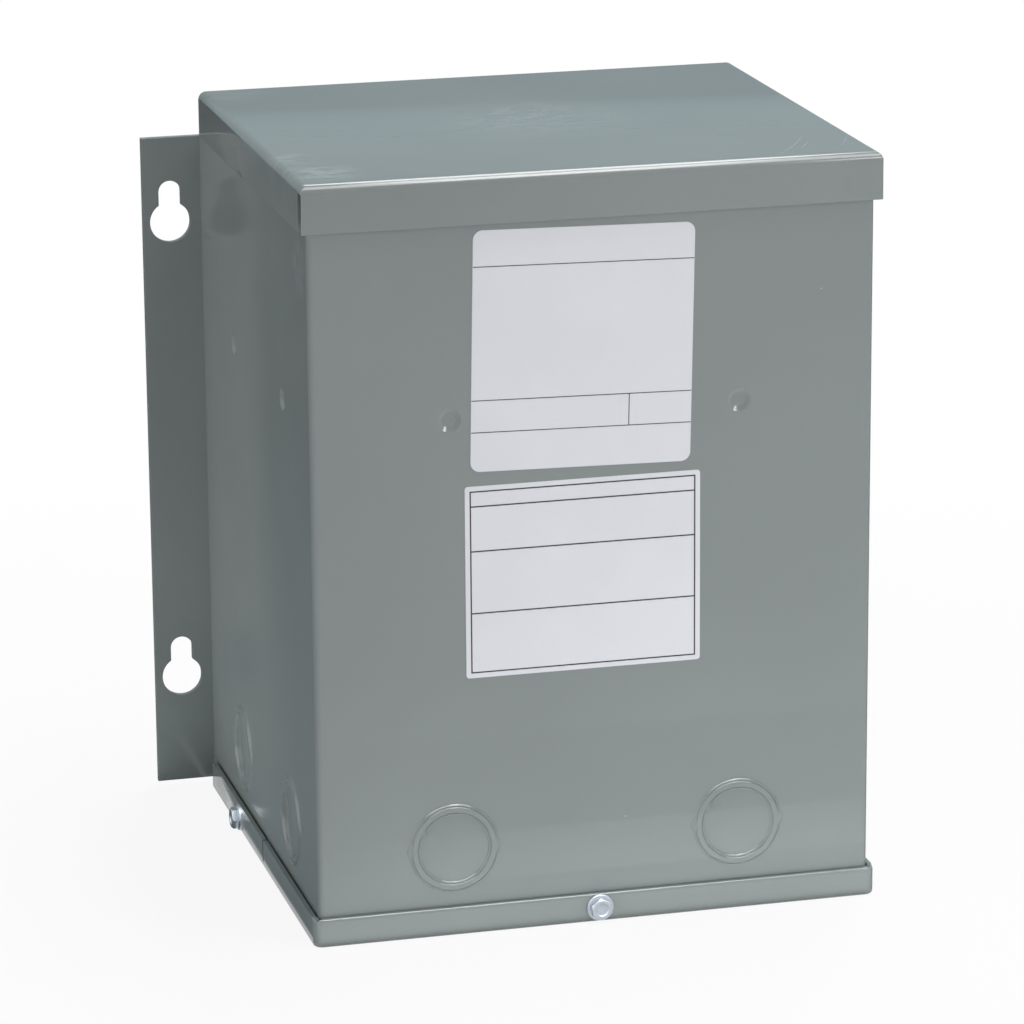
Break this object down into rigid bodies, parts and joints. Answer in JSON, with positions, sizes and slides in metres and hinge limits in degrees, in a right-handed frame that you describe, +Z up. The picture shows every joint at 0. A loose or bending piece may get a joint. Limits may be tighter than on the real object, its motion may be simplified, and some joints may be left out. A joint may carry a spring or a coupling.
{
  "type": "potted dry transformer in a wall case",
  "caption": "Grey enamelled sheet steel transformer case with a folded lid, side mounting flanges with keyholes, conduit knockouts and a screwed bottom pan.",
  "frame": {"origin": "middle of the bounding box at the base, where the bottom pan rests on a floor", "axes": "+Z up, -Y to the front with the knockouts, +Y to the wall, +X to the right seen from the front"},
  "size_m": [0.2168, 0.1694, 0.2402],
  "materials": {
    "case_enamel": "semi-gloss grey baked enamel over sheet steel",
    "potting_compound": "dull cast compound",
    "zinc_plate": "bright zinc plate on the pan screws",
    "label_film": "white polyester label film"
  },
  "bodies": {
    "root": {"case_wrap": "case_enamel", "back_plate": "case_enamel", "top_cover": "case_enamel", "bottom_pan": "case_enamel", "front_left_knockout_ring": "case_enamel", "front_left_knockout_disc": "case_enamel", "front_right_knockout_ring": "case_enamel", "front_right_knockout_disc": "case_enamel", "left_rear_knockout_ring": "case_enamel", "left_rear_knockout_disc": "case_enamel", "left_front_knockout_ring": "case_enamel", "left_front_knockout_disc": "case_enamel", "right_front_knockout_ring": "case_enamel", "right_front_knockout_disc": "case_enamel", "right_rear_knockout_ring": "case_enamel", "right_rear_knockout_disc": "case_enamel", "potted_core": "potting_compound"}
  },
  "joints": []
}
